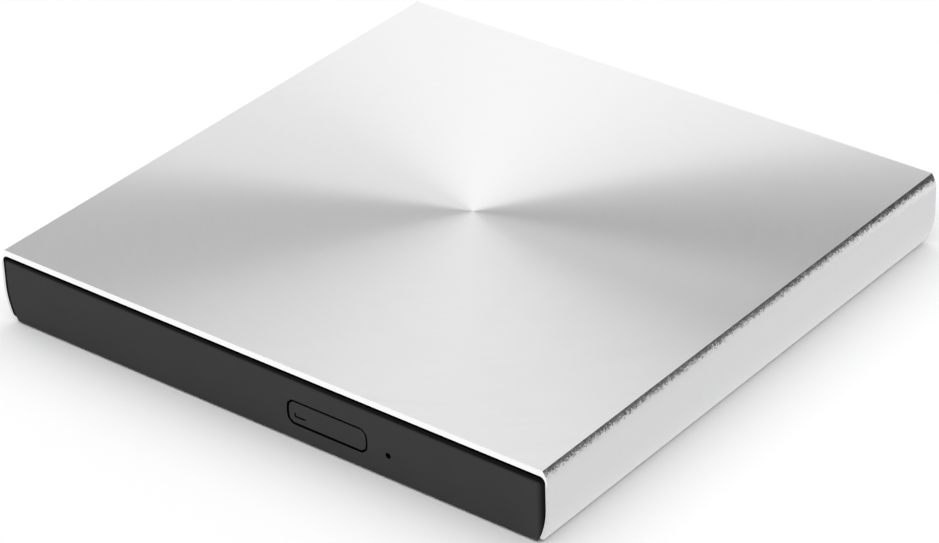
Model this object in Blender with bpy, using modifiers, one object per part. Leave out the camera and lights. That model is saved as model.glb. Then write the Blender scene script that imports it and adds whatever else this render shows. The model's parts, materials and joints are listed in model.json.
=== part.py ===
"""Slim external disc drive: an aluminium sleeve round a tray drive, with its case, tray and mechanism.

The front is -Y, +X is right and +Z is up. The origin is on the ground, under the middle of the drive.
Sizes below are in millimetres, and every helper turns them into metres as it builds a mesh.
"""
import math

import bmesh
import bpy
from mathutils import Matrix

MM = 0.001
MERGE = 0.0001
GAP = 0.3                      # between neighbouring pieces

# Overall sizes
HALF_DEPTH = 69.0
FOOT_LIFT = 0.8                # how far the feet hold the case off the ground
SHELL_HEIGHT = 16.5            # from the lower edge of the sleeve to its top face
TOP_Z = FOOT_LIFT + SHELL_HEIGHT
TOP_WALL = 1.4
SIDE_WALL = 0.6

# Section of the sleeve: a crisp top edge, an upper arc, a short upright and a tucked-in lower arc
HALF_WIDTH = 71.2
UPPER_RADIUS, UPPER_DROP = 6.6, 3.8
LOWER_RADIUS, LOWER_DROP = 18.7, 8.4
INNER_CORNER = 1.3
FRONT_CORNER = 1.3             # rounding of the sides at their lower front ends

# Heights of the stacked layers
FLOOR_TOP = 2.3
CHASSIS_Z = (2.6, 14.2)
SHEET = 0.6
LID_TOP = 15.1
TRAY_COVER_Z = (3.6, 4.0)
TRAY_Z = (4.3, 13.2)
TRAY_DECK_Z = (9.3, 10.3)      # underside of the tray's deck, and the floor of its disc well

# Plan of the layers
CHASSIS_HALF_WIDTH, CHASSIS_Y = 64.0, (-65.0, 58.0)
TRAY_Y = (-66.0, 56.6)
TRAY_HALF_WIDTH, SKIRT_HALF_WIDTH, SKIRT_WALL = 63.1, 60.9, 2.0
BEZEL_Y = (-68.8, -66.3)
BEZEL_SIDE_GAP, BEZEL_TOP_GAP, BEZEL_CORNER, BEZEL_ROUNDING = 0.3, 0.7, 1.2, 0.6
BEZEL_DROP = 0.4               # how far the bezel reaches below the sleeve's edges
DISC_WELL_RADIUS = 60.6
SPINDLE = (0.0, -5.0)

# The traverse is built along its own +X, which runs from the spindle to the front left corner
TRAVERSE_ANGLE = 225.0
ROD_SIDE, ROD_Z, ROD_RADIUS = 12.5, 7.5, 1.0
SCREW_SIDE, SCREW_Z, SCREW_RADIUS, SCREW_PITCH = -18.0, 7.0, 0.9, 3.0
DAMPERS = ((-21.0, 0.0), (50.0, 18.0), (60.5, -17.5))

# Controls on the front, as x and height
BUTTON = (16.5, 6.7)
BUTTON_HALF_WIDTH, BUTTON_HEIGHT, BUTTON_GAP = 9.4, 4.9, 0.45
BUTTON_Y = (-68.7, -66.9)
LED_SLOT = (8.1, 5.6)
PINHOLE = (32.0, 5.7)
LATCH_PIVOT = (53.0, -61.6)
LATCH_POST = (48.0, -58.0)
LATCH_RELEASED = -14.0         # degrees from hooked to released

FEET = {"front_left": (-56, -54), "front_right": (56, -54), "rear_left": (-56, 54), "rear_right": (56, 54)}
CASE_SCREWS = {"front_left": (-40, -46), "front_right": (40, -46), "rear_left": (-40, 46), "rear_right": (40, 46)}
LID_SCREWS = {"left": (-59.5, 54.0), "right": (59.5, 54.0)}
USB_X = -22.0


def clear_scene():
    for obj in list(bpy.data.objects):
        bpy.data.objects.remove(obj)


def new_collection(name, hidden=False):
    collection = bpy.data.collections.new(name)
    collection.hide_render = hidden
    bpy.context.scene.collection.children.link(collection)
    return collection


def material(name, colour, roughness, metallic=0.0, alpha=1.0):
    made = bpy.data.materials.new(name)
    made.use_nodes = True
    shader = made.node_tree.nodes["Principled BSDF"]
    shader.inputs["Base Color"].default_value = (*colour, 1.0)
    shader.inputs["Roughness"].default_value = roughness
    shader.inputs["Metallic"].default_value = metallic
    shader.inputs["Alpha"].default_value = alpha
    return made


clear_scene()
PARTS = new_collection("optical_drive")
CUTTERS = new_collection("cutters", hidden=True)

ALUMINIUM = material("spun_aluminium", (0.80, 0.80, 0.81), 0.30, 1.0)
BLACK_PLASTIC = material("black_plastic", (0.045, 0.045, 0.047), 0.55)
TRAY_PLASTIC = material("tray_plastic", (0.03, 0.03, 0.032), 0.45)
GREY_PLASTIC = material("grey_plastic", (0.30, 0.30, 0.31), 0.5)
RUBBER = material("rubber", (0.02, 0.02, 0.02), 0.85)
STEEL = material("galvanised_steel", (0.60, 0.61, 0.62), 0.35, 1.0)
BRIGHT_STEEL = material("bright_steel", (0.75, 0.75, 0.75), 0.15, 1.0)
CIRCUIT_BOARD = material("circuit_board", (0.02, 0.16, 0.08), 0.5)
CHIP = material("chip_resin", (0.02, 0.02, 0.02), 0.6)
FLEX = material("flex_film", (0.85, 0.84, 0.80), 0.4)
CLEAR = material("clear_plastic", (0.55, 0.65, 0.75), 0.05, 0.0, 0.5)
BRASS = material("brass", (0.70, 0.52, 0.22), 0.3, 1.0)


# Building blocks ---------------------------------------------------------------------------------

def add_object(name, mesh, look=None, smooth=False):
    """A mesh object among the parts, or among the cutters if it has no material."""
    obj = bpy.data.objects.new(name, mesh)
    if look is None:
        CUTTERS.objects.link(obj)
        obj.hide_render = True
        obj.display_type = "WIRE"
    else:
        PARTS.objects.link(obj)
        mesh.materials.append(look)
    if smooth:
        mesh.shade_smooth()
        mesh.set_sharp_from_angle(angle=math.radians(35))
    return obj


def from_bmesh(name, shape, look, smooth=False):
    mesh = bpy.data.meshes.new(name)
    shape.to_mesh(mesh)
    shape.free()
    return add_object(name, mesh, look, smooth)


def box(name, x, y, z, look=None):
    """A box from its low and high x, y and z."""
    shape = bmesh.new()
    bmesh.ops.create_cube(shape, size=1.0)
    size = Matrix.Diagonal(((x[1] - x[0]) * MM, (y[1] - y[0]) * MM, (z[1] - z[0]) * MM, 1.0))
    centre = Matrix.Translation(((x[0] + x[1]) / 2 * MM, (y[0] + y[1]) / 2 * MM, (z[0] + z[1]) / 2 * MM))
    shape.transform(centre @ size)
    return from_bmesh(name, shape, look)


def rod(name, start, length, radius, look=None, axis="Z", segments=24):
    """A round bar from its start point along +X, +Y or +Z."""
    turn = {"Z": Matrix(), "Y": Matrix.Rotation(-math.pi / 2, 4, "X"), "X": Matrix.Rotation(math.pi / 2, 4, "Y")}
    shape = bmesh.new()
    bmesh.ops.create_cone(shape, cap_ends=True, segments=segments, radius1=radius * MM,
                          radius2=radius * MM, depth=length * MM)
    lift = Matrix.Translation((0.0, 0.0, length / 2 * MM))
    place = Matrix.Translation([value * MM for value in start])
    shape.transform(place @ turn[axis] @ lift)
    return from_bmesh(name, shape, look, smooth=True)


def turned(name, profile, look, centre=(0.0, 0.0), steps=36):
    """A turned piece: its (radius, height) profile runs down the outer side. A ring's profile closes on itself."""
    ring = min(radius for radius, height in profile) > 0
    shape = bmesh.new()
    points = [shape.verts.new((radius * MM, 0.0, height * MM)) for radius, height in profile]
    for first, second in zip(points, points[1:]):
        shape.edges.new((first, second))
    if ring:
        shape.edges.new((points[-1], points[0]))
    obj = from_bmesh(name, shape, look)
    obj.location = (centre[0] * MM, centre[1] * MM, 0.0)
    screw = obj.modifiers.new("turn", "SCREW")
    screw.steps = screw.render_steps = steps
    screw.use_merge_vertices = True
    screw.merge_threshold = MERGE / 10
    screw.use_smooth_shade = True
    return obj


def plate(name, outline, low, high, look=None, upright=False):
    """A flat outline made solid: (x, y) points between two heights, or upright (x, z) points between two y."""
    curve = bpy.data.curves.new(name, "CURVE")
    curve.dimensions = "2D"
    curve.fill_mode = "BOTH"
    curve.extrude = (high - low) / 2 * MM
    spline = curve.splines.new("POLY")
    spline.points.add(len(outline) - 1)
    for point, (across, along) in zip(spline.points, outline):
        point.co = (across * MM, along * MM, 0.0, 1.0)
    spline.use_cyclic_u = True
    drawn = bpy.data.objects.new(name, curve)
    CUTTERS.objects.link(drawn)
    middle = (low + high) / 2 * MM
    if upright:
        drawn.matrix_world = Matrix.Translation((0.0, middle, 0.0)) @ Matrix.Rotation(math.pi / 2, 4, "X")
    else:
        drawn.matrix_world = Matrix.Translation((0.0, 0.0, middle))
    bpy.context.view_layer.update()
    mesh = bpy.data.meshes.new_from_object(drawn.evaluated_get(bpy.context.evaluated_depsgraph_get()))
    mesh.name = name
    mesh.transform(drawn.matrix_world)
    bpy.data.objects.remove(drawn)
    shape = bmesh.new()
    shape.from_mesh(mesh)
    bmesh.ops.remove_doubles(shape, verts=shape.verts, dist=MERGE / 10)
    bmesh.ops.recalc_face_normals(shape, faces=shape.faces)
    shape.to_mesh(mesh)
    shape.free()
    mesh.materials.clear()
    return add_object(name, mesh, look)


def cut(target, *cutters):
    combine(target, "DIFFERENCE", cutters)


def join(target, *pieces):
    combine(target, "UNION", pieces)


def combine(target, operation, others):
    for other in others:
        boolean = target.modifiers.new(other.name, "BOOLEAN")
        boolean.operation = operation
        boolean.solver = "EXACT"
        boolean.object = other


def bevel(obj, width, segments=2, angle=40):
    modifier = obj.modifiers.new("bevel", "BEVEL")
    modifier.width = width * MM
    modifier.segments = segments
    modifier.limit_method = "ANGLE"
    modifier.angle_limit = math.radians(angle)
    return obj


def frame_empty(name, x, y, degrees=0.0):
    """An empty that pieces are built round: a joint's axis, or the traverse's own frame."""
    empty = bpy.data.objects.new(name, None)
    PARTS.objects.link(empty)
    empty.location = (x * MM, y * MM, 0.0)
    empty.rotation_euler = (0.0, 0.0, math.radians(degrees))
    return empty


def under(empty, *objects):
    for obj in objects:
        obj.parent = empty


def arc(centre, radius, start, end, steps):
    """Points along an arc, from one angle in degrees to another."""
    angles = [math.radians(start + (end - start) * i / steps) for i in range(steps + 1)]
    return [(centre[0] + radius * math.cos(a), centre[1] + radius * math.sin(a)) for a in angles]


def mirrored(right):
    """A closed outline from its right half, given from the top down."""
    return right + [(-x, z) for x, z in reversed(right)]


# The case ----------------------------------------------------------------------------------------

def lower_arc(inset, drop=0.0, steps=6):
    """The tucked-in lower side of the sleeve, moved inwards, from the upright to drop below the lower edge."""
    radius = LOWER_RADIUS - inset
    end = -math.degrees(math.asin((SHELL_HEIGHT + drop - LOWER_DROP) / radius))
    return arc((HALF_WIDTH - LOWER_RADIUS, TOP_Z - LOWER_DROP), radius, 0, end, steps)


def inner_section(side_gap, top_gap, radius, drop=0.0):
    """The right half of what fits inside the sleeve with these gaps, from its top middle down past its corner."""
    inset = SIDE_WALL + side_gap
    corner = (HALF_WIDTH - inset - radius, TOP_Z - TOP_WALL - top_gap - radius)
    return arc(corner, radius, 90, 0, 5) + lower_arc(inset, drop)


def make_sleeve():
    start = math.degrees(math.asin(UPPER_DROP / UPPER_RADIUS))
    centre = (HALF_WIDTH - UPPER_RADIUS, TOP_Z - UPPER_DROP)
    outer = arc(centre, UPPER_RADIUS, start, 0, 6) + lower_arc(0)
    inner = inner_section(0, 0, INNER_CORNER)
    outline = mirrored(outer + inner[::-1])
    sleeve = plate("top_sleeve", outline, -HALF_DEPTH, HALF_DEPTH, ALUMINIUM, upright=True)
    y, z, reach = FRONT_CORNER - HALF_DEPTH, FRONT_CORNER + FOOT_LIFT, HALF_WIDTH + 1
    corner = box("front_corner", (-reach, reach), (y - FRONT_CORNER - 1, y), (z - FRONT_CORNER - 1, z))
    cut(corner, rod("corner_rounding", (-reach - 1, y, z), 2 * reach + 2, FRONT_CORNER, axis="X", segments=32))
    cut(sleeve, corner)


def make_bottom_case():
    half, front, rear = 68.0, -65.9, 66.5
    wall, wall_top = 1.0, 8.0
    case = box("bottom_case", (-half, half), (front, rear), (FOOT_LIFT, wall_top), BLACK_PLASTIC)
    hollow = box("case_hollow", (wall - half, half - wall), (front - 1, rear + 1), (FLOOR_TOP, wall_top + 1))
    cut(case, hollow)
    for place, (x, y) in FEET.items():
        recess = rod("foot_recess_" + place, (x, y, 0.0), FOOT_LIFT + 0.7, 4.3)
        cut(case, recess)
    for place, (x, y) in CASE_SCREWS.items():
        cut(case, rod("case_countersink_" + place, (x, y, 0.0), FOOT_LIFT + 0.9, 3.1))
        cut(case, rod("case_hole_" + place, (x, y, 0.0), FLOOR_TOP + 1, 1.3))


def make_rear_panel():
    outline = mirrored(inner_section(GAP, GAP, INNER_CORNER - GAP))
    panel = plate("rear_panel", outline, 66.8, 68.7, BLACK_PLASTIC, upright=True)
    mouth = box("usb_mouth", (USB_X - 4.9, USB_X + 4.9), (66.0, 70.0), (3.3, 7.3))
    cut(panel, bevel(mouth, 1.2, 3))


def make_feet():
    for place, (x, y) in FEET.items():
        profile = [(0, 1.2), (4.0, 1.2), (4.0, 0.3), (3.7, 0.0), (0, 0.0)]
        turned("foot_" + place, profile, RUBBER, (x, y), steps=20)


def make_case_screws():
    for place, (x, y) in CASE_SCREWS.items():
        profile = [(0, 3.1), (0.9, 3.1), (0.9, 1.4), (2.7, 1.4), (2.7, 0.95), (0.9, 0.95), (0.7, 1.2), (0, 1.2)]
        turned("case_screw_" + place, profile, BRIGHT_STEEL, (x, y), steps=16)


# The drive's fixed parts -------------------------------------------------------------------------

def make_chassis():
    half, inner = CHASSIS_HALF_WIDTH, CHASSIS_HALF_WIDTH - SHEET
    chassis = box("drive_chassis", (-half, half), CHASSIS_Y, CHASSIS_Z, STEEL)
    inside = box("chassis_inside", (-inner, inner), (CHASSIS_Y[0] - 1, CHASSIS_Y[1] - SHEET),
                 (CHASSIS_Z[0] + SHEET, CHASSIS_Z[1] + 1))
    cut(chassis, inside)
    for place, (x, y) in LID_SCREWS.items():
        side = math.copysign(1, x)
        reach = sorted((side * 56.0, side * (half - 0.2)))
        tab = box("lid_tab_" + place, reach, (50.5, 57.6), (CHASSIS_Z[1] - SHEET, CHASSIS_Z[1]))
        join(chassis, tab)
        cut(chassis, rod("lid_tab_hole_" + place, (x, y, 13.0), 2.0, 1.05))
    for place, (x, y) in CASE_SCREWS.items():
        cut(chassis, rod("chassis_hole_" + place, (x, y, 2.0), 2.0, 1.2))
    cut(chassis, rod("latch_post_seat", (*LATCH_POST, 2.0), 2.0, 1.3))
    cut(chassis, box("connector_cutout", (9.7, 40.3), (57.0, 59.0), (3.6, 8.4)))


def make_lid():
    half, flange_low = 64.9, 9.0
    rear = CHASSIS_Y[1] + GAP
    lid = box("drive_lid", (-half, half), (CHASSIS_Y[0], rear + SHEET), (flange_low, LID_TOP), STEEL)
    inside = box("lid_inside", (SHEET - half, half - SHEET), (CHASSIS_Y[0] - 1, rear),
                 (flange_low - 1, LID_TOP - SHEET))
    cut(lid, inside)
    join(lid, rod("spindle_boss", (*SPINDLE, LID_TOP - 0.3), 0.7, 16.0, segments=48))
    for side in (-1, 1):
        reach = sorted((side * 30, side * 36))
        join(lid, box("lid_bead", reach, (-50, 40), (LID_TOP - 0.3, LID_TOP + 0.3)))
    for place, (x, y) in LID_SCREWS.items():
        cut(lid, rod("lid_hole_" + place, (x, y, 14.0), 2.0, 1.05))


def make_lid_screws():
    for place, (x, y) in LID_SCREWS.items():
        profile = [(0, 15.7), (0.6, 15.7), (0.8, 15.9), (1.8, 15.85), (1.8, 15.4), (0.75, 15.4),
                   (0.75, 13.5), (0, 13.5)]
        turned("lid_screw_" + place, profile, BRIGHT_STEEL, (x, y), steps=16)


def make_rails():
    """A fixed channel on each side wall, and the steel rail that runs in it at half the tray's speed."""
    for place, side in (("left", -1), ("right", 1)):
        back = CHASSIS_HALF_WIDTH - SHEET - GAP
        guide = box("rail_guide_" + place, sorted((side * 61.2, side * back)), (-60, 55), (4.6, 9.4), GREY_PLASTIC)
        channel = box("rail_channel_" + place, sorted((side * 60.0, side * 62.45)), (-61, 56), (5.1, 8.9))
        cut(guide, channel)
        rail = box("slide_rail_" + place, sorted((side * 61.45, side * 62.15)), (-63, 50), (5.4, 8.6), BRIGHT_STEEL)
        for start in (-58.0, -20.0, 18.0):
            cut(rail, box("rail_slot", (side * 62 - 2, side * 62 + 2), (start, start + 28), (6.6, 7.4)))


def make_drive_electronics():
    connector = box("drive_connector", (10, 40), (57.0, 61.2), (4.0, 8.0), CHIP)
    cut(connector, box("connector_slot", (12, 38), (59.5, 62), (5.6, 6.4)))
    box("bridge_board", (-32, 46), (59.2, 66.4), (2.6, 3.4), CIRCUIT_BOARD)
    socket = box("bridge_connector", (9.5, 40.5), (61.5, 65.5), (3.7, 8.2), CHIP)
    cut(socket, box("bridge_connector_recess", (11.5, 38.5), (61.0, 62.5), (5.2, 6.8)))
    box("bridge_chip", (-8, -1.5), (59.7, 65.7), (3.7, 4.6), CHIP)
    box("flex_connector", (-50, -30), (55.0, 57.1), (3.5, 5.0), CHIP)
    rod("latch_post", (*LATCH_POST, 2.75), 4.65, 1.0, BRIGHT_STEEL)


def make_usb_socket():
    z = (3.7, 6.9)
    shell = box("usb_socket", (USB_X - 4.45, USB_X + 4.45), (60.6, 68.5), z, BRIGHT_STEEL)
    bevel(shell, 1.3, 4)
    cavity = box("usb_cavity", (USB_X - 4.1, USB_X + 4.1), (62.0, 72.0), (z[0] + 0.35, z[1] - 0.35))
    bevel(cavity, 1.1, 4)
    cut(shell, cavity)
    join(shell, box("usb_tongue", (USB_X - 3.3, USB_X + 3.3), (61.0, 67.6), (4.95, 5.65)))


# The tray ----------------------------------------------------------------------------------------

def traverse_window(name, hub_radius, half_width, length, low, high, look=None):
    """A round opening at the spindle with a straight lane along the pickup's path, in the traverse's frame."""
    lane = box(name + "_lane", (0, length), (-half_width, half_width), (low, high))
    under(TRAVERSE, lane)
    hub = rod(name, (0, 0, low), high - low, hub_radius, look, segments=64)
    under(TRAVERSE, hub)
    join(hub, lane)
    return hub


def make_tray():
    skirt, inner = SKIRT_HALF_WIDTH, SKIRT_HALF_WIDTH - SKIRT_WALL
    tray = box("tray", (-skirt, skirt), TRAY_Y, TRAY_Z, TRAY_PLASTIC)
    cut(tray, box("tray_inside", (-inner, inner), (TRAY_Y[0] + 1.5, TRAY_Y[1] + 1), (TRAY_Z[0] - 1, TRAY_DECK_Z[0])))
    join(tray, box("tray_flange", (-TRAY_HALF_WIDTH, TRAY_HALF_WIDTH), TRAY_Y, (10.0, TRAY_Z[1])))
    well = rod("disc_well", (*SPINDLE, TRAY_DECK_Z[1]), 4.0, DISC_WELL_RADIUS, segments=96)
    cut(tray, well)
    cut(tray, traverse_window("tray_window", 16.5, 14.0, 62.0, 8.0, 11.2))
    for number, (along, across) in enumerate(DAMPERS, 1):
        post = rod(f"damper_post_{number}", (along, across, 4.5), 5.2, 0.9, segments=16)
        under(TRAVERSE, post)
        join(tray, post)
    join(tray, rod("latch_pivot_pin", (*LATCH_PIVOT, 5.0), 4.6, 0.8, segments=16))
    join(tray, box("ejector_block", (50.3, 59.5), (34.0, 55.4), (4.9, 9.6)))
    cut(tray, rod("ejector_bore", (54.5, 35.0, 7.2), 25.0, 1.8, axis="Y"))
    cut(tray, box("button_opening", (7.4, 21.6), (-67.0, -64.0), (4.6, 8.8)))
    cut(tray, rod("tray_pinhole", (PINHOLE[0], -67.0, PINHOLE[1]), 3.0, 1.1, axis="Y", segments=16))


def button_outline(grow):
    """The button's outline: flat above and below, with bowed ends and rounded corners."""
    half, rise, bow, corner = BUTTON_HALF_WIDTH, BUTTON_HEIGHT / 2, 0.5, 0.9
    radius = (rise ** 2 + bow ** 2) / (2 * bow)
    sweep = math.degrees(math.asin((rise - corner * 0.6) / radius))
    end = arc((half + bow - radius, 0.0), radius + grow, sweep, -sweep, 4)
    right = arc((half - corner, rise - corner), corner + grow, 90, 25, 3) + end
    right += arc((half - corner, corner - rise), corner + grow, -25, -90, 3)
    return [(BUTTON[0] + x, BUTTON[1] + z) for x, z in mirrored(right)]


def led_slot():
    """The L-shaped light slot: a long bar along the bottom and a short tick at its left end."""
    (x, z), line = LED_SLOT, 0.35
    points = [(x, z), (x + 2.8, z), (x + 2.8, z + line), (x + line, z + line), (x + line, z + 1.0), (x, z + 1.0)]
    return plate("led_slot", points, -70.0, -66.0, upright=True)


def make_bezel():
    outline = mirrored(inner_section(BEZEL_SIDE_GAP, BEZEL_TOP_GAP, BEZEL_CORNER, BEZEL_DROP))
    bezel = plate("front_bezel", outline, *BEZEL_Y, BLACK_PLASTIC, upright=True)
    bevel(bezel, BEZEL_ROUNDING, 3)
    cut(bezel, plate("button_hole", button_outline(BUTTON_GAP), -70.0, -65.0, upright=True))
    cut(bezel, rod("bezel_pinhole", (PINHOLE[0], -70.0, PINHOLE[1]), 5.0, 0.65, axis="Y", segments=20))


def make_button():
    button = plate("eject_button", button_outline(0), *BUTTON_Y, BLACK_PLASTIC, upright=True)
    bevel(button, 0.15, 2)
    cut(button, led_slot())
    x, z = BUTTON
    join(button, box("button_stem", (x - 1.2, x + 1.2), (-67.2, -62.0), (z - 0.9, z + 0.9)))
    rod("switch_plunger", (x, -61.7, z), 1.8, 0.7, CHIP, axis="Y", segments=16)
    switch = box("eject_switch", (x - 2.5, x + 2.5), (-61.1, -57.5), (5.5, 8.3), CHIP)
    cut(switch, rod("switch_bore", (x, -62.0, z), 3.1, 1.0, axis="Y", segments=20))
    box("led_light_pipe", (7.9, 11.5), (-66.0, -62.5), (5.5, 7.3), CLEAR)


def make_tray_boards():
    box("front_board", (8, 43), (-64.1, -50), (4.4, 5.2), CIRCUIT_BOARD)
    box("main_board", (-55, 44), (18, 55), (6.2, 7.0), CIRCUIT_BOARD)
    bevel(box("main_chip", (-14, 0), (28, 42), (7.3, 8.7), CHIP), 0.2, 1)
    bevel(box("driver_chip", (14, 23), (28, 37), (7.3, 8.5), CHIP), 0.2, 1)
    cover = box("tray_cover", (-60.9, 44.5), (-64, 55), TRAY_COVER_Z, STEEL)
    cut(cover, box("flex_lane", (-51, -29), (-30, 60), (3.0, 5.0)))


def make_main_flex():
    """The flat cable: along the chassis floor, round one fold, and back under the main board."""
    thickness, low, high, fold_y = 0.2, 3.6, 5.5, 14.0
    middle, bend = (low + high) / 2, (high - low) / 2
    outer = arc((fold_y, middle), bend + thickness / 2, 270, 90, 10)
    inner = arc((fold_y, middle), bend - thickness / 2, 90, 270, 10)
    outline = [(54.7, low - thickness / 2)] + outer + [(42.0, high + thickness / 2)]
    outline += [(42.0, high - thickness / 2)] + inner + [(54.7, low + thickness / 2)]
    flex = plate("main_flex", outline, -8.0, 8.0, FLEX)
    flex.matrix_world = Matrix.Translation((-40.0 * MM, 0, 0)) @ Matrix.Rotation(math.pi / 2, 4, "Z") \
        @ Matrix.Rotation(math.pi / 2, 4, "X")


def make_latch():
    """The hook that holds the closed tray, stored as released, with its arm behind the pinhole."""
    axis = frame_empty("latch_axis", *LATCH_PIVOT, LATCH_RELEASED)
    z = (5.5, 6.5)
    lever = rod("latch_lever", (0, 0, z[0]), z[1] - z[0], 1.8, GREY_PLASTIC)
    arm = box("latch_arm", (-22.0, 0.9), (-2.2, -0.6), z)
    stalk = box("latch_stalk", (-0.9, 0.9), (-2.2, 6.2), z)
    barb = box("latch_barb", (-4.9, 0.0), (5.0, 6.2), z)
    hole = rod("latch_hole", (0, 0, 4.0), 4.0, 1.05, segments=24)
    under(axis, lever, arm, stalk, barb, hole)
    join(lever, arm, stalk, barb)
    cut(lever, hole)


def make_solenoid():
    body = bevel(box("solenoid", (36.5, 43.5), (-54.5, -46), (5.5, 9.0), STEEL), 0.5, 2)
    cut(body, rod("solenoid_bore", (40, -56, 7.2), 8.0, 1.4, axis="Y"))
    rod("solenoid_plunger", (40, -58.2, 7.2), 8.0, 1.1, BRIGHT_STEEL, axis="Y")


def make_ejector():
    rod("ejector_plunger", (54.5, 46.5, 7.2), 10.4, 1.5, GREY_PLASTIC, axis="Y")
    coil_radius, wire, turns, around = 1.2, 0.22, 7, 8
    start, length = 35.4, 10.6
    curve = bpy.data.curves.new("ejector_spring", "CURVE")
    curve.dimensions = "3D"
    curve.bevel_depth = wire * MM
    curve.bevel_resolution = 2
    curve.use_fill_caps = True
    count = turns * around + 1
    spline = curve.splines.new("POLY")
    spline.points.add(count - 1)
    for i, point in enumerate(spline.points):
        turn = 2 * math.pi * i / around
        y = start + wire + (length - 2 * wire) * i / (count - 1)
        point.co = (coil_radius * math.cos(turn) * MM, y * MM, coil_radius * math.sin(turn) * MM, 1.0)
    curve.materials.append(BRIGHT_STEEL)
    spring = bpy.data.objects.new("ejector_spring", curve)
    spring.location = (54.5 * MM, 0.0, 7.2 * MM)
    PARTS.objects.link(spring)


# The traverse: spindle, pickup and their frame ---------------------------------------------------

def make_traverse_frame():
    near, far, half, chamfer = -17.0, 68.5, 15.0, 3.0
    corners = [(near + chamfer, -half), (far - chamfer, -half), (far, chamfer - half), (far, half - chamfer),
               (far - chamfer, half), (near + chamfer, half), (near, half - chamfer), (near, chamfer - half)]
    z = (5.0, 5.8)
    frame = plate("traverse_frame", corners, *z, STEEL)
    under(TRAVERSE, frame)
    window = box("frame_window", (15.5, 66.0), (-10.0, 10.0), (4.0, 7.0))
    additions = [box("screw_shelf", (7.4, 57.5), (-20.6, -14.0), z),
                 box("motor_ear", (7.4, 8.2), (-20.6, -14.0), (z[0], 9.0)),
                 box("screw_ear", (56.2, 57.5), (-20.0, -16.0), (z[0], 8.6))]
    for side in (-1, 1):
        across = sorted((side * 10.8, side * 14.0))
        additions += [box("rod_seat", (8.5, 11.5), across, (5.4, 9.0)),
                      box("rod_seat", (66.3, 68.5), across, (5.4, 9.0))]
    for along, across in DAMPERS:
        additions.append(rod("damper_lug", (along, across, z[0]), z[1] - z[0], 3.3, segments=24))
    additions.append(box("rear_lug_arm", (-20, -16), (-2.5, 2.5), z))
    additions.append(box("front_lug_arm", (47.5, 52.5), (14.0, 17.5), z))
    under(TRAVERSE, window, *additions)
    cut(frame, window)
    join(frame, *additions)
    holes = [rod("screw_bore", (5.0, SCREW_SIDE, SCREW_Z), 55.0, SCREW_RADIUS + 0.3, axis="X", segments=20)]
    for side in (-1, 1):
        start = (8.0, side * ROD_SIDE, ROD_Z)
        holes.append(rod("rod_bore", start, 61.0, ROD_RADIUS + 0.15, axis="X", segments=24))
    holes += [rod("damper_hole", (along, across, 4.0), 3.0, 2.25, segments=24) for along, across in DAMPERS]
    under(TRAVERSE, *holes)
    cut(frame, *holes)


def make_traverse_parts():
    cover = traverse_window("traverse_cover", 16.2, 13.7, 61.7, 9.4, 9.8, STEEL)
    slot = box("lens_lane", (10, 61.0), (-5.2, 5.2), (9, 10.5))
    hub_hole = rod("hub_hole", (0, 0, 9), 1.5, 15.0, segments=64)
    under(TRAVERSE, slot, hub_hole)
    cut(cover, hub_hole, slot)
    for number, place in enumerate(DAMPERS, 1):
        spool = [(1.2, 6.4), (2.7, 6.4), (2.7, 6.1), (1.95, 6.1), (1.95, 4.7), (2.7, 4.7), (2.7, 4.4), (1.2, 4.4)]
        under(TRAVERSE, turned(f"damper_{number}", spool, RUBBER, place, steps=20))
    for name, side in (("guide_rod_main", 1), ("guide_rod_second", -1)):
        start = (9.0, side * ROD_SIDE, ROD_Z)
        under(TRAVERSE, rod(name, start, 59.2, ROD_RADIUS, BRIGHT_STEEL, axis="X", segments=24))
    motor = rod("sled_motor", (-5.0, SCREW_SIDE, SCREW_Z), 12.1, 2.0, STEEL, axis="X")
    bore = rod("motor_bore", (5.0, SCREW_SIDE, SCREW_Z), 4.0, SCREW_RADIUS + 0.3, axis="X", segments=20)
    under(TRAVERSE, motor, bore)
    cut(motor, bore)


def make_lead_screw():
    """A shaft with a raised thread of one start, made as a ridge wound along it."""
    start, length = 5.6, 51.6
    screw = rod("lead_screw", (start, SCREW_SIDE, SCREW_Z), length, SCREW_RADIUS - 0.2, BRIGHT_STEEL, axis="X",
                segments=16)
    thread_start, turns, around = 9.5, 15, 6
    curve = bpy.data.curves.new("thread", "CURVE")
    curve.dimensions = "3D"
    curve.bevel_depth = 0.25 * MM
    curve.bevel_resolution = 0
    curve.use_fill_caps = True
    spline = curve.splines.new("POLY")
    spline.points.add(turns * around)
    for i, point in enumerate(spline.points):
        turn = 2 * math.pi * i / around
        radius = SCREW_RADIUS - 0.27
        point.co = ((thread_start + SCREW_PITCH * i / around) * MM, (SCREW_SIDE + radius * math.cos(turn)) * MM,
                    (SCREW_Z + radius * math.sin(turn)) * MM, 1.0)
    drawn = bpy.data.objects.new("thread", curve)
    CUTTERS.objects.link(drawn)
    bpy.context.view_layer.update()
    mesh = bpy.data.meshes.new_from_object(drawn.evaluated_get(bpy.context.evaluated_depsgraph_get()))
    bpy.data.objects.remove(drawn)
    shape = bmesh.new()
    shape.from_mesh(mesh)
    bmesh.ops.remove_doubles(shape, verts=shape.verts, dist=MERGE / 100)
    thread = from_bmesh("thread", shape, None)
    join(screw, thread)
    under(TRAVERSE, screw, thread)


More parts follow.
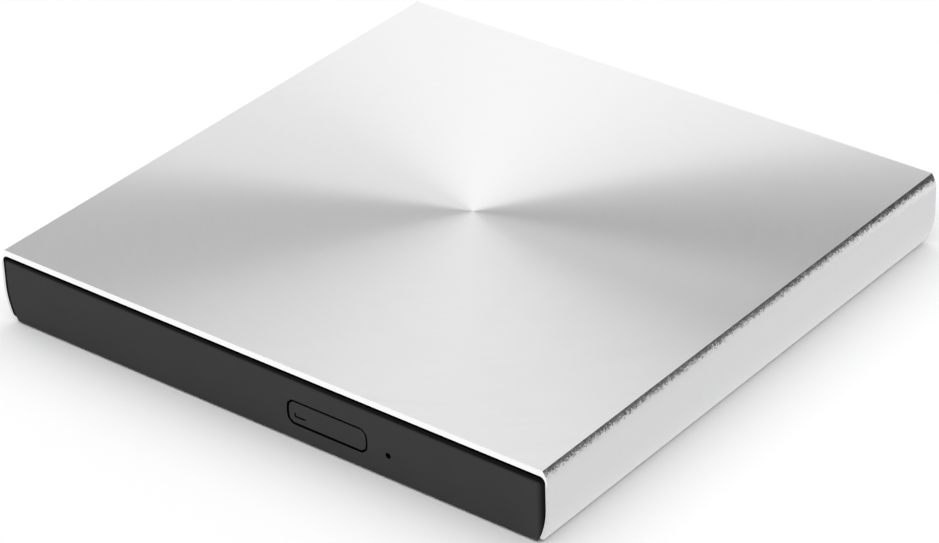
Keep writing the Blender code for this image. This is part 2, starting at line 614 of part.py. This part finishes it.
def make_spindle():
    stator = [(0, 6.35), (1.15, 6.35), (1.15, 8.4), (2.4, 8.4), (2.4, 7.0), (4.0, 7.0), (4.0, 8.4), (11.0, 8.4),
              (11.0, 6.1), (0, 6.1)]
    turned("spindle_stator", stator, BRASS, SPINDLE)
    rotor = [(0, 11.2), (11.6, 11.2), (11.6, 10.7), (14.5, 10.7), (14.5, 9.5), (12.5, 9.3), (12.5, 6.2),
             (11.6, 6.2), (11.6, 8.8), (1.0, 8.8), (1.0, 6.6), (0, 6.6)]
    turntable = turned("turntable", rotor, GREY_PLASTIC, SPINDLE)
    ring = turned("turntable_ring", [(11.9, 11.6), (14.4, 11.6), (14.4, 11.0), (11.9, 11.0)], RUBBER, SPINDLE)
    hub_profile = [(0, 13.5), (4.6, 13.5), (6.6, 13.1), (7.3, 12.5), (7.3, 11.5), (0, 11.5)]
    hub = turned("disc_hub", hub_profile, BLACK_PLASTIC, SPINDLE)
    under(SPINDLE_AXIS, turntable, ring, hub)
    for obj in (turntable, ring, hub):
        obj.location = (0.0, 0.0, 0.0)
    for number in range(3):
        claw = box("hub_claw", (6.0, 7.6), (-1.2, 1.2), (12.1, 12.6))
        claw.rotation_euler = (0.0, 0.0, 2 * math.pi * number / 3)
        under(SPINDLE_AXIS, claw)
        join(hub, claw)


def make_pickup():
    sled = box("pickup_sled", (17.0, 32.3), (-14.5, 14.5), (6.1, 9.0), GREY_PLASTIC)
    arm = box("screw_arm", (18, 22), (-20.3, -14.0), (8.2, 9.0))
    lip = box("screw_lip", (18, 22), (-20.3, -19.3), (6.4, 8.6))
    bores = [rod("sled_bore", (15.0, side * ROD_SIDE, ROD_Z), 20.0, ROD_RADIUS + 0.15, axis="X", segments=24)
             for side in (-1, 1)]
    holder = box("lens_holder", (19.6, 26.7), (-4.5, 4.5), (9.3, 10.4), CHIP)
    lens_seat = rod("lens_seat", (24.5, 0, 9.0), 2.0, 2.1, segments=32)
    under(TRAVERSE, sled, arm, lip, holder, lens_seat, *bores)
    join(sled, arm, lip)
    cut(sled, *bores)
    bevel(holder, 0.3, 1)
    cut(holder, lens_seat)
    lens = [(0, 10.75), (0.8, 10.68), (1.4, 10.45), (1.8, 10.1), (1.8, 9.4), (0, 9.4)]
    under(TRAVERSE, turned("objective_lens", lens, CLEAR, (24.5, 0.0), steps=32))


TRAVERSE = frame_empty("traverse_axis", *SPINDLE, TRAVERSE_ANGLE)
SPINDLE_AXIS = frame_empty("spindle_axis", *SPINDLE)

make_sleeve()
make_bottom_case()
make_rear_panel()
make_feet()
make_case_screws()
make_chassis()
make_lid()
make_lid_screws()
make_rails()
make_drive_electronics()
make_usb_socket()
make_tray()
make_bezel()
make_button()
make_tray_boards()
make_main_flex()
make_latch()
make_solenoid()
make_ejector()
make_traverse_frame()
make_traverse_parts()
make_lead_screw()
make_spindle()
make_pickup()
bpy.context.view_layer.update()
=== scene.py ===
"""The looks of a slim external disc drive: an aluminium sleeve with a spun top, and its tray drive inside.

The front is -Y, +X is right, +Z is up, all in metres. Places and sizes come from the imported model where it
has them.
"""
import json
import math

import bmesh
import bpy
from mathutils import Matrix, Vector


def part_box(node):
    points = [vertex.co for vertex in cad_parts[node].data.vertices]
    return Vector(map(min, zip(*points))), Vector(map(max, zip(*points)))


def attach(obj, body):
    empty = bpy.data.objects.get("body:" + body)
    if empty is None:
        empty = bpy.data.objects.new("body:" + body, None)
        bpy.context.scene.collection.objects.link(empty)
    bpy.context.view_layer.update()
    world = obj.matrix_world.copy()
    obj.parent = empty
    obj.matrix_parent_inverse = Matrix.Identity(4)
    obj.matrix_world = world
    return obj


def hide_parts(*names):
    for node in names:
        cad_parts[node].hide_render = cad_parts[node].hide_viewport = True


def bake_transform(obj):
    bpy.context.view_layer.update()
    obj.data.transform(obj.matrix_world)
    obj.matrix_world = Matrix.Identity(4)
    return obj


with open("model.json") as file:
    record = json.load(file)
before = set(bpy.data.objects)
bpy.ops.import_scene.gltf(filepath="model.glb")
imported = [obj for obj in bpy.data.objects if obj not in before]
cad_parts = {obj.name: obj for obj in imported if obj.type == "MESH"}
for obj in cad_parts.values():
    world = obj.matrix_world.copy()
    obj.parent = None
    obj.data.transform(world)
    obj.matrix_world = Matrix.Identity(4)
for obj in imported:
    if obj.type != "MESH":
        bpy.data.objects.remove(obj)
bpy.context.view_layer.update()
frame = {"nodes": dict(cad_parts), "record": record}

MM = 0.001
NODES = frame["nodes"]
SLEEVE_LOW, SLEEVE_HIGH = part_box("top_sleeve")
TOP = SLEEVE_HIGH.z
BASE = SLEEVE_LOW.z

# The sleeve's section, in metres: how thick its walls are, the two arcs of each side with how far below the
# top they meet and start, the inner corner, and the rounding of the sides at their lower front ends
TOP_WALL, SIDE_WALL = 1.4 * MM, 0.6 * MM
UPPER_RADIUS, UPPER_DROP = 6.6 * MM, 3.8 * MM
LOWER_RADIUS, LOWER_DROP = 18.7 * MM, 8.4 * MM
INNER_CORNER = 1.3 * MM
FRONT_CORNER = 1.3 * MM
SECTION_STEPS, FRONT_STEPS = 20, 12
CUT_EDGE_REACH = 3.0 * MM      # how far down from the top the sleeve's cut ends are bright

# Bevels: their width in metres, and the angle in degrees past which an edge gets one
NODE_BEVEL, SLEEVE_BEVEL = (0.08 * MM, 36), (0.13 * MM, 30)
SAME_POINT = 0.001 * MM        # points closer than this are one
SAME_PLANE = 0.5               # faces within this many degrees of each other are one
FACING = 0.9                   # how nearly a normal lies along an axis to count as facing that way

# The flat cable, in metres
CABLE_THICKNESS = 0.2 * MM
CABLE_UPPER_END = 42.0 * MM    # the Y at which it reaches its board on the tray
CABLE_LOWER_STEPS, CABLE_FOLD_STEPS, CABLE_UPPER_STEPS, CABLE_COLUMNS = 24, 48, 16, 8

# The spun top: each set of rings as its width and how far its pattern wanders round a turn, in metres
FINE_RINGS, BROAD_RINGS = (0.09 * MM, 1.2 * MM), (0.5 * MM, 2.5 * MM)
GROOVE_LEAN = 0.16             # how far the grooves' faces lean towards the middle
GROOVE_DEPTH = 0.001 * MM

DIMPLE_SIZE = 0.23 * MM
DIMPLE_LEAN = 0.16             # how far the blasted dimples' faces lean, each its own way
CLOUD_SIZE = 9 * MM            # the faint mottling of moulded plastic
CUT_EDGE_LEAN = 1.4            # how far the milled front edge leans up to the light

# The bezel's colour holds painted shadow: it darkens between these heights, less this share of X, as painted
# shadow under the sleeve's edge above, and between these places along X near its right end, as painted shadow
# of the sleeve's side. Its roundings that turn right or up get painted shade while that part of their normal
# goes between these.
BEZEL_SHADE_HEIGHTS = (14.0 * MM, 14.6 * MM)
BEZEL_SHADE_SLOPE = 0.003
BEZEL_SHADE_ENDS = (68.3 * MM, 69.9 * MM)
BEZEL_SHADE_NORMALS = (0.10, 0.62)

# The studio: the sky's dim and bright levels, and the height and softness of the edge between them, where
# height runs from 0 at the horizon to 1 overhead
SKY = (0.356, 1.539, 0.557, 0.06)
SKY_DARKEST = 0.02
SKY_STRENGTH = 1.04
# Soft patches of it that are brighter or dimmer: strength, elevation, azimuth from +X, and spread in degrees
PANELS = ((1.304, 8.6, 95.7, 19.6), (-0.565, 35.0, 97.8, 46.0), (1.099, 15.0, 163.5, 14.7),
          (0.45, 50.0, 128.8, 3.5))

# Two cards on the right that only gloss sees, in millimetres. The black one stands behind, its lower edge
# rising to the right, and darkens the shoulder. The white one lies on the floor and lights the side evenly.
BLACK_CARD = ((85, 95, 8), (600, 95, 285), (600, 95, 440), (85, 95, 130))
WHITE_CARD = ((66, -260, 0.4), (420, -260, 0.4), (420, 94, 0.4), (66, 94, 0.4))
CARD_BLACK_TONE = 0.075
CARD_WHITE_GLOW = 0.88

FLOOR_HALF_SIZE = 3.0
FLOOR_DROP = 0.05 * MM         # keeps the floor clear of the feet's soles

# The camera, solved from the photograph: its lens in millimetres, its axes, and its place above the top
LENS, SENSOR = 142.1, 36.0
CAMERA_RIGHT = (0.78929, 0.61343, -0.02696)
CAMERA_UP = (-0.29991, 0.42346, 0.85483)
CAMERA_BACK = (0.5358, -0.66662, 0.5182)
CAMERA_PLACE = (0.42087, -0.52550, 0.39312)


# Shader building ---------------------------------------------------------------------------------

class Shading:
    """A material under construction: its node tree, its Principled shader and short ways to add nodes."""

    def __init__(self, name, metallic=0.0, colour=None, roughness=None, **values):
        self.material = bpy.data.materials.new(name)
        self.material.use_nodes = True
        self.nodes = self.material.node_tree.nodes
        self.shader = self.nodes["Principled BSDF"]
        self.set("Metallic", metallic)
        if colour is not None:
            self.set("Base Color", (*colour, 1.0))
        if roughness is not None:
            self.set("Roughness", roughness)
        for socket, value in values.items():
            self.set(socket.replace("_", " "), value)

    def set(self, socket, value):
        self.shader.inputs[socket].default_value = value

    def link(self, source, socket):
        self.material.node_tree.links.new(source, socket)

    def feed(self, socket, source):
        self.link(source, self.shader.inputs[socket])

    def add(self, kind, *sources, **settings):
        """A node with its inputs linked to sockets or set to numbers, in order. None leaves one alone."""
        node = self.nodes.new("ShaderNode" + kind)
        for key, value in settings.items():
            setattr(node, key, value)
        for socket, source in zip(node.inputs, sources):
            if isinstance(source, bpy.types.NodeSocket):
                self.link(source, socket)
            elif source is not None:
                socket.default_value = source
        return node

    def place(self, scale=(1.0, 1.0, 1.0)):
        """The point on the object, in its own space, stretched by scale."""
        point = self.add("TexCoord").outputs["Object"]
        return self.add("Mapping", point, None, None, scale).outputs[0]

    def split(self, vector):
        """The three parts of a vector."""
        return self.add("SeparateXYZ", vector).outputs

    def math(self, operation, a, b):
        return self.add("Math", a, b, operation=operation).outputs[0]

    def vector(self, operation, *sources):
        return self.add("VectorMath", *sources, operation=operation).outputs[0]

    def noise(self, vector, size, detail=2.0, roughness=0.5):
        """Noise from 0 to 1 with features about size metres across."""
        node = self.add("TexNoise", vector)
        node.inputs["Scale"].default_value = 1.0 / size
        node.inputs["Detail"].default_value = detail
        node.inputs["Roughness"].default_value = roughness
        return node.outputs[0]

    def cells(self, size):
        """A random colour for each cell, about size metres across."""
        node = self.add("TexVoronoi", self.place())
        node.inputs["Scale"].default_value = 1 / size
        return node.outputs["Color"]

    def remap(self, value, low, high, to_low, to_high):
        return self.add("MapRange", value, low, high, to_low, to_high).outputs[0]

    def spread(self, value, to_low, to_high):
        """Noise, which mostly lies between 0.3 and 0.7, spread over another range."""
        return self.remap(value, 0.3, 0.7, to_low, to_high)

    def blend_colours(self, share, first, second):
        node = self.add("Mix", data_type="RGBA")
        self.link(share, node.inputs["Factor"])
        for socket, colour in ((node.inputs[6], first), (node.inputs[7], second)):
            socket.default_value = (*colour, 1.0)
        return node.outputs[2]

    def bump(self, height, depth, strength, normal=None):
        node = self.add("Bump")
        node.inputs["Strength"].default_value = strength
        node.inputs["Distance"].default_value = depth
        self.link(height, node.inputs["Height"])
        if normal is not None:
            self.link(normal, node.inputs["Normal"])
        self.feed("Normal", node.outputs[0])


def grey(tone):
    return (tone, tone, tone)


def scaled(colour, factor):
    return tuple(min(1.0, channel * factor) for channel in colour)


# Materials ---------------------------------------------------------------------------------------

def spun_aluminium():
    """Brushed in circles round the middle of the top: the scratches run round it, so gloss fans out from it."""
    look = Shading("spun_aluminium", 1.0, Anisotropic=1.0)
    parts = look.split(look.add("TexCoord").outputs["Object"])
    flat = look.add("CombineXYZ", parts[0], parts[1], 0.0).outputs[0]
    radial = look.vector("NORMALIZE", flat)
    look.feed("Tangent", radial)
    radius = look.add("VectorMath", flat, operation="LENGTH").outputs["Value"]
    turn = look.split(radial)
    rings = []
    for width, wander in (FINE_RINGS, BROAD_RINGS):
        across = look.math("DIVIDE", radius, width)
        sweep = wander / width
        point = look.add("CombineXYZ", across, look.math("MULTIPLY", turn[0], sweep),
                         look.math("MULTIPLY", turn[1], sweep)).outputs[0]
        rings.append(look.noise(point, 1.0, detail=3.0, roughness=0.6))
    fine, broad = rings
    look.feed("Roughness", look.spread(broad, 0.345, 0.375))
    share = look.math("ADD", look.math("MULTIPLY", fine, 0.7), look.math("MULTIPLY", broad, 0.3))
    look.feed("Base Color", look.blend_colours(look.spread(share, 0.0, 1.0), grey(0.892), grey(0.933)))
    lean = look.vector("MULTIPLY", radial, grey(-GROOVE_LEAN))
    facing = look.vector("NORMALIZE", look.vector("ADD", lean, (0.0, 0.0, 1.0)))
    look.bump(fine, GROOVE_DEPTH, 0.4, facing)
    return look.material


def blasted_aluminium():
    """Bead-blasted metal: every dimple leans its own way, which breaks up the edge of whatever it reflects."""
    look = Shading("blasted_aluminium", 1.0)
    dimples = look.cells(DIMPLE_SIZE)
    tone = look.add("SeparateColor", dimples).outputs[0]
    look.feed("Base Color", look.blend_colours(tone, (0.72, 0.72, 0.725), (0.76, 0.76, 0.77)))
    look.feed("Roughness", look.remap(tone, 0.0, 1.0, 0.19, 0.25))
    lean = look.vector("MULTIPLY", look.vector("ADD", dimples, grey(-0.5)), grey(DIMPLE_LEAN))
    face = look.add("NewGeometry").outputs["Normal"]
    look.feed("Normal", look.vector("NORMALIZE", look.vector("ADD", face, lean)))
    return look.material


def polished_aluminium():
    """The cut ends of the sleeve, milled as a bright edge that leans up to the light."""
    look = Shading("polished_aluminium", 1.0, grey(0.67))
    look.feed("Roughness", look.spread(look.noise(look.place((0.05, 1.0, 1.0)), 0.08 * MM), 0.12, 0.22))
    face = look.add("NewGeometry").outputs["Normal"]
    look.feed("Normal", look.vector("NORMALIZE", look.vector("ADD", face, (0.0, 0.0, CUT_EDGE_LEAN))))
    return look.material


def moulded_plastic(name, colour, roughness, grain, depth, mottle=0.12):
    """Moulded plastic with a fine spark-eroded grain, its size and depth in millimetres."""
    look = Shading(name)
    texture = look.noise(look.place(), grain * MM, detail=3.0, roughness=0.6)
    cloud = look.noise(look.place(), CLOUD_SIZE)
    look.feed("Base Color", look.blend_colours(cloud, scaled(colour, 1 - mottle), scaled(colour, 1 + mottle)))
    look.feed("Roughness", look.spread(texture, roughness - 0.06, roughness + 0.08))
    look.bump(texture, depth * MM, 0.6)
    return look.material


def bezel_plastic():
    """Matte black plastic with painted shade in its colour: darker under the sleeve's edge, at its right end
    and where it turns right or up.
    """
    look = Shading("bezel_plastic", Specular_IOR_Level=0.06)
    grain = look.noise(look.place(), 0.16 * MM, detail=3.0, roughness=0.6)
    cloud = look.noise(look.place(), CLOUD_SIZE)
    facing = look.split(look.add("NewGeometry").outputs["True Normal"])
    place = look.split(look.add("TexCoord").outputs["Object"])
    # Painted shadow of the sleeve's edge above and of its right side, then painted shade on roundings that turn
    # right or up
    height = look.math("ADD", place[2], look.math("MULTIPLY", place[0], BEZEL_SHADE_SLOPE))
    shade = look.remap(height, *BEZEL_SHADE_HEIGHTS, 1.0, 0.02)
    shade = look.math("MULTIPLY", shade, look.remap(place[0], *BEZEL_SHADE_ENDS, 1.0, 0.05))
    for side in (facing[0], facing[2]):
        shade = look.math("MULTIPLY", shade, look.remap(side, *BEZEL_SHADE_NORMALS, 1.0, 0.03))
    plain = look.blend_colours(cloud, (0.046, 0.046, 0.0465), (0.052, 0.052, 0.0525))
    look.feed("Base Color", look.vector("MULTIPLY", plain, shade))
    look.feed("Roughness", look.spread(grain, 0.49, 0.63))
    look.bump(grain, 0.012 * MM, 0.6)
    return look.material


def steel_sheet():
    """Galvanised sheet: faint rolling lines and a cloudy spangle."""
    look = Shading("steel_sheet", 1.0)
    rolling = look.noise(look.place((1.0, 0.03, 1.0)), 0.25 * MM, detail=3.0)
    tone = look.math("MULTIPLY", look.add("SeparateColor", look.cells(2.4 * MM)).outputs[0], 0.3)
    share = look.math("ADD", tone, look.math("MULTIPLY", rolling, 0.7))
    colour = (0.60, 0.61, 0.62)
    look.feed("Base Color", look.blend_colours(share, scaled(colour, 0.88), scaled(colour, 1.10)))
    look.feed("Roughness", look.remap(share, 0.2, 0.8, 0.28, 0.40))
    look.bump(rolling, 0.004 * MM, 0.5)
    return look.material


def bright_steel():
    """Ground or plated steel with fine lines."""
    look = Shading("bright_steel", 1.0)
    lines = look.noise(look.place((0.2, 0.2, 1.0)), 0.15 * MM, detail=3.0)
    look.feed("Roughness", look.spread(lines, 0.112, 0.24))
    colour = (0.72, 0.72, 0.73)
    look.feed("Base Color", look.blend_colours(lines, scaled(colour, 0.92), scaled(colour, 1.05)))
    return look.material


def circuit_board():
    """Green solder mask over copper tracks, which show as slightly raised lighter lines."""
    look = Shading("circuit_board", roughness=0.32, Coat_Weight=0.4, Coat_Roughness=0.2)
    tracks = look.add("TexBrick", look.place())
    for socket, value in (("Scale", 1 / (14 * MM)), ("Mortar Size", 0.03), ("Mortar Smooth", 0.1),
                          ("Brick Width", 0.55), ("Row Height", 0.12)):
        tracks.inputs[socket].default_value = value
    share = tracks.outputs["Fac"]
    look.feed("Base Color", look.blend_colours(share, (0.015, 0.10, 0.05), (0.04, 0.22, 0.11)))
    look.bump(share, 0.03 * MM, 0.6)
    return look.material


def flex_film():
    """Polyimide film over fine copper lines that run along the cable."""
    look = Shading("flex_film", roughness=0.28, Coat_Weight=0.5, Coat_Roughness=0.12)
    lines = look.add("TexWave", look.place(), wave_type="BANDS", bands_direction="X")
    lines.inputs["Scale"].default_value = 1 / (6.5 * MM)
    look.feed("Base Color", look.blend_colours(lines.outputs["Fac"], (0.45, 0.24, 0.08), (0.80, 0.55, 0.26)))
    return look.material


def clear_plastic():
    look = Shading("clear_plastic", colour=(0.85, 0.90, 0.95), Transmission_Weight=0.9, IOR=1.49)
    look.feed("Roughness", look.spread(look.noise(look.place(), 1.5 * MM), 0.02, 0.08))
    return look.material


def lens_glass():
    """A coated objective: deep violet blue with a sharp gloss."""
    look = Shading("lens_glass", roughness=0.03, IOR=1.6, Coat_Weight=1.0, Coat_Roughness=0.02)
    haze = look.noise(look.place(), 0.8 * MM)
    look.feed("Base Color", look.blend_colours(haze, (0.06, 0.05, 0.20), (0.16, 0.10, 0.30)))
    return look.material


def copper_winding():
    look = Shading("brass", 1.0, roughness=0.3)
    wire = look.add("TexWave", look.place(), wave_type="RINGS", rings_direction="Z")
    wire.inputs["Scale"].default_value = 1 / (1.2 * MM)
    look.feed("Base Color", look.blend_colours(wire.outputs["Fac"], (0.45, 0.22, 0.08), (0.80, 0.50, 0.26)))
    look.bump(wire.outputs["Fac"], 0.05 * MM, 0.7)
    return look.material


def floor_paper():
    look = Shading("floor_paper", roughness=0.9)
    fibre = look.noise(look.place(), 4 * MM, detail=3.0)
    look.feed("Base Color", look.blend_colours(fibre, grey(0.95), grey(0.965)))
    return look.material


BEZEL_BLACK = bezel_plastic()
BLASTED = blasted_aluminium()
SLOT_LOOKS = {
    "spun_aluminium": BLASTED,
    "black_plastic": moulded_plastic("black_plastic", (0.030, 0.030, 0.031), 0.55, 0.16, 0.012),
    "tray_plastic": moulded_plastic("tray_plastic", (0.022, 0.022, 0.024), 0.42, 0.20, 0.015),
    "grey_plastic": moulded_plastic("grey_plastic", (0.32, 0.32, 0.33), 0.40, 0.3, 0.01),
    "rubber": moulded_plastic("rubber", (0.018, 0.018, 0.019), 0.78, 0.25, 0.03, 0.2),
    "steel_sheet": steel_sheet(),
    "bright_steel": bright_steel(),
    "circuit_board": circuit_board(),
    "chip_resin": moulded_plastic("chip_resin", (0.022, 0.022, 0.024), 0.52, 0.1, 0.008),
    "flex_film": flex_film(),
    "clear_plastic": clear_plastic(),
    "brass": copper_winding(),
}
SPUN = spun_aluminium()
POLISHED = polished_aluminium()
LINING = moulded_plastic("black_lining", grey(0.010), 0.7, 0.3, 0.01)


# Mesh building -----------------------------------------------------------------------------------

def add_object(name, data):
    obj = bpy.data.objects.new(name, data)
    bpy.context.scene.collection.objects.link(obj)
    return obj


def mesh_of(shape, name, *looks):
    """A mesh of the shape, which is used up, with its materials."""
    mesh = bpy.data.meshes.new(name)
    shape.to_mesh(mesh)
    shape.free()
    for look in looks:
        mesh.materials.append(look)
    return mesh


def arc(centre, radius, start, end, steps):
    """Points along an arc, from one angle in degrees to another."""
    angles = [math.radians(start + (end - start) * i / steps) for i in range(steps + 1)]
    return [(centre[0] + radius * math.cos(a), centre[1] + radius * math.sin(a)) for a in angles]


def add_bevel(obj, width, sharper_than):
    """Rounds the edges that are sharper than an angle in degrees. The width is in metres."""
    bevel = obj.modifiers.new("edges", "BEVEL")
    bevel.width = width
    bevel.segments = 2
    bevel.limit_method = "ANGLE"
    bevel.angle_limit = math.radians(sharper_than)
    bevel.harden_normals = True
    return bevel


def refine(obj):
    """Fine rounded edges and smooth curves on a node, whose own mesh stays as it is."""
    for polygon in obj.data.polygons:
        polygon.use_smooth = True
    weld = obj.modifiers.new("weld", "WELD")
    weld.merge_threshold = SAME_POINT
    flat = obj.modifiers.new("flat", "DECIMATE")
    flat.decimate_type = "DISSOLVE"
    flat.angle_limit = math.radians(SAME_PLANE)
    add_bevel(obj, *NODE_BEVEL)
    normals = obj.modifiers.new("normals", "WEIGHTED_NORMAL")
    normals.keep_sharp = True
    normals.weight = 100       # the largest faces alone decide


# The sleeve --------------------------------------------------------------------------------------

def sleeve_section(trim):
    """The sleeve's section from its left lower edge over the top to the right, as an outer and an inner path.

    The lower edges stop short by trim, where the sides are rounded off at the front.
    """
    half_width = SLEEVE_HIGH.x
    reach = TOP - BASE - LOWER_DROP - trim
    lower_centre = (half_width - LOWER_RADIUS, TOP - LOWER_DROP)

    def lower(radius):
        return arc(lower_centre, radius, 0, -math.degrees(math.asin(reach / radius)), SECTION_STEPS)

    start = math.degrees(math.asin(UPPER_DROP / UPPER_RADIUS))
    upper_centre = (half_width - UPPER_RADIUS, TOP - UPPER_DROP)
    outer = arc(upper_centre, UPPER_RADIUS, start, 0, SECTION_STEPS) + lower(LOWER_RADIUS)
    corner = (half_width - SIDE_WALL - INNER_CORNER, TOP - TOP_WALL - INNER_CORNER)
    inner = arc(corner, INNER_CORNER, 90, 0, SECTION_STEPS) + lower(LOWER_RADIUS - SIDE_WALL)
    return [[(-x, z) for x, z in reversed(path)] + path for path in (outer, inner)]


def make_sleeve():
    """One wall swept along Y: a spun top, blasted sides, bright cut ends at the top and a black lining."""
    side, top_face, cut_end, lining = range(4)
    turns = [math.pi / 2 * i / FRONT_STEPS for i in range(FRONT_STEPS + 1)]
    stations = [(SLEEVE_LOW.y + FRONT_CORNER * (1 - math.cos(turn)), FRONT_CORNER * (1 - math.sin(turn)))
                for turn in turns]
    stations.append((SLEEVE_HIGH.y, 0.0))
    shape = bmesh.new()
    outer, inner = [], []
    for y, trim in stations:
        for rows, path in zip((outer, inner), sleeve_section(trim)):
            rows.append([shape.verts.new((x, y, z)) for x, z in path])
    last = len(outer[0]) - 1
    for near in range(len(stations) - 1):
        far = near + 1
        for rows in (outer, inner):
            for i in range(last):
                face = shape.faces.new((rows[near][i], rows[near][i + 1], rows[far][i + 1], rows[far][i]))
                face.material_index = lining if rows is inner else side
        for i in (0, last):
            shape.faces.new((outer[near][i], outer[far][i], inner[far][i], inner[near][i]))
    for end in (0, -1):
        for i in range(last):
            shape.faces.new((outer[end][i], outer[end][i + 1], inner[end][i + 1], inner[end][i]))
    bmesh.ops.recalc_face_normals(shape, faces=shape.faces)
    for face in shape.faces:
        face.smooth = True
        height = face.calc_center_median().z
        if face.normal.z > FACING and height > TOP - 0.01 * MM:
            face.material_index = top_face
        elif abs(face.normal.y) > FACING and height >= TOP - CUT_EDGE_REACH:
            face.material_index = cut_end
    sleeve = add_object("sleeve", mesh_of(shape, "sleeve", BLASTED, SPUN, POLISHED, LINING))
    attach(sleeve, "case")
    add_bevel(sleeve, *SLEEVE_BEVEL).material = side
    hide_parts("top_sleeve")


# The flat cable ----------------------------------------------------------------------------------

def make_cable():
    """The ribbon between the case and the tray, folded back on itself between the two."""
    low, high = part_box("main_flex")
    bend = (high.z - low.z - CABLE_THICKNESS) / 2
    middle = (low.z + high.z) / 2
    fold_y = low.y + bend + CABLE_THICKNESS / 2
    run = [(high.y + (fold_y - high.y) * i / CABLE_LOWER_STEPS, middle - bend)
           for i in range(CABLE_LOWER_STEPS)]
    run += arc((fold_y, middle), bend, 270, 90, CABLE_FOLD_STEPS)
    run += [(fold_y + (CABLE_UPPER_END - fold_y) * i / CABLE_UPPER_STEPS, middle + bend)
            for i in range(1, CABLE_UPPER_STEPS + 1)]
    shape = bmesh.new()
    across = [low.x + (high.x - low.x) * i / CABLE_COLUMNS for i in range(CABLE_COLUMNS + 1)]
    rows = [[shape.verts.new((x, y, z)) for x in across] for y, z in run]
    for near, far in zip(rows, rows[1:]):
        for i in range(CABLE_COLUMNS):
            shape.faces.new((near[i], near[i + 1], far[i + 1], far[i])).smooth = True
    cable = add_object("ribbon_cable", mesh_of(shape, "ribbon_cable", SLOT_LOOKS["flex_film"]))
    solid = cable.modifiers.new("thickness", "SOLIDIFY")
    solid.thickness = CABLE_THICKNESS
    solid.offset = 0.0
    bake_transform(cable)
    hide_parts("main_flex")


# Stage -------------------------------------------------------------------------------------------

def make_camera():
    """The photograph's viewpoint, aimed at the middle of the top."""
    camera = bpy.data.cameras.new("camera")
    camera.lens = LENS
    camera.sensor_width = SENSOR
    camera.clip_start = 0.01
    camera.clip_end = 20
    obj = add_object("camera", camera)
    turn = Matrix((CAMERA_RIGHT, CAMERA_UP, CAMERA_BACK)).transposed()
    obj.matrix_world = Matrix.Translation(Vector(CAMERA_PLACE) + Vector((0, 0, TOP))) @ turn.to_4x4()
    bpy.context.scene.camera = obj


def make_world():
    """Soft studio surroundings: bright overhead and dim round the horizon, with soft patches behind."""
    world = bpy.data.worlds.new("studio")
    world.use_nodes = True
    bpy.context.scene.world = world
    nodes, links = world.node_tree.nodes, world.node_tree.links
    direction = nodes.new("ShaderNodeTexCoord").outputs["Generated"]

    def math_node(operation, *sources):
        node = nodes.new("ShaderNodeMath")
        node.operation = operation
        for socket, source in zip(node.inputs, sources):
            if isinstance(source, bpy.types.NodeSocket):
                links.new(source, socket)
            else:
                socket.default_value = source
        return node.outputs[0]

    height = nodes.new("ShaderNodeSeparateXYZ")
    links.new(direction, height.inputs[0])
    low, high, edge, softness = SKY
    sky = nodes.new("ShaderNodeMapRange")
    sky.interpolation_type = "SMOOTHSTEP"
    links.new(height.outputs[2], sky.inputs[0])
    for socket, value in zip(sky.inputs[1:5], (edge - softness, edge + softness, low, high)):
        socket.default_value = value
    level = sky.outputs[0]
    for strength, elevation, azimuth, spread in PANELS:
        raised = Matrix.Rotation(math.radians(-elevation), 3, "Y") @ Vector((1, 0, 0))
        facing = nodes.new("ShaderNodeVectorMath")
        facing.operation = "DOT_PRODUCT"
        links.new(direction, facing.inputs[0])
        facing.inputs[1].default_value = Matrix.Rotation(math.radians(azimuth), 3, "Z") @ raised
        angle = math_node("ARCCOSINE", math_node("MINIMUM", facing.outputs["Value"], 1.0))
        fall = math_node("MULTIPLY", math_node("POWER", angle, 2.0), -0.5 / math.radians(spread) ** 2)
        level = math_node("MULTIPLY_ADD", math_node("EXPONENT", fall), strength, level)
    colour = nodes.new("ShaderNodeCombineColor")
    for socket in colour.inputs:
        links.new(math_node("MAXIMUM", level, SKY_DARKEST), socket)
    background = nodes["Background"]
    links.new(colour.outputs[0], background.inputs[0])
    background.inputs[1].default_value = SKY_STRENGTH


def make_floor():
    shape = bmesh.new()
    bmesh.ops.create_grid(shape, x_segments=2, y_segments=2, size=FLOOR_HALF_SIZE)
    floor = add_object("floor", mesh_of(shape, "floor", floor_paper()))
    floor.location.z = -FLOOR_DROP


def make_card(name, corners, look):
    """A flat card that only glossy reflections see."""
    mesh = bpy.data.meshes.new(name)
    mesh.from_pydata([Vector(corner) * MM for corner in corners], [], [range(len(corners))])
    mesh.materials.append(look.material)
    card = add_object(name, mesh)
    card.visible_camera = card.visible_diffuse = card.visible_shadow = card.visible_transmission = False


def make_stage():
    make_camera()
    make_world()
    make_floor()
    black = Shading("card_black", colour=grey(CARD_BLACK_TONE), roughness=0.9, Specular_IOR_Level=0.0)
    make_card("black_card", BLACK_CARD, black)
    white = Shading("card_white", colour=grey(0.0), roughness=0.9, Specular_IOR_Level=0.0,
                    Emission_Color=(1.0, 1.0, 1.0, 1.0), Emission_Strength=CARD_WHITE_GLOW)
    make_card("white_card", WHITE_CARD, white)
    view = bpy.context.scene.view_settings
    view.view_transform = "Standard"
    view.look = "None"
    view.exposure = 0.0


def dress_nodes():
    """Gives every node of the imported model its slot's material, and smooth shading with crisp edges."""
    slots = {part["node"]: part["material_slot"] for part in frame["record"]["subparts"]}
    for name, obj in NODES.items():
        obj.data.materials.clear()
        obj.data.materials.append(SLOT_LOOKS[slots[name]])
        for polygon in obj.data.polygons:
            polygon.material_index = 0
        refine(obj)
    NODES["objective_lens"].data.materials[0] = lens_glass()
    for name in ("front_bezel", "eject_button"):
        NODES[name].data.materials[0] = BEZEL_BLACK


make_stage()
dress_nodes()
make_sleeve()
make_cable()
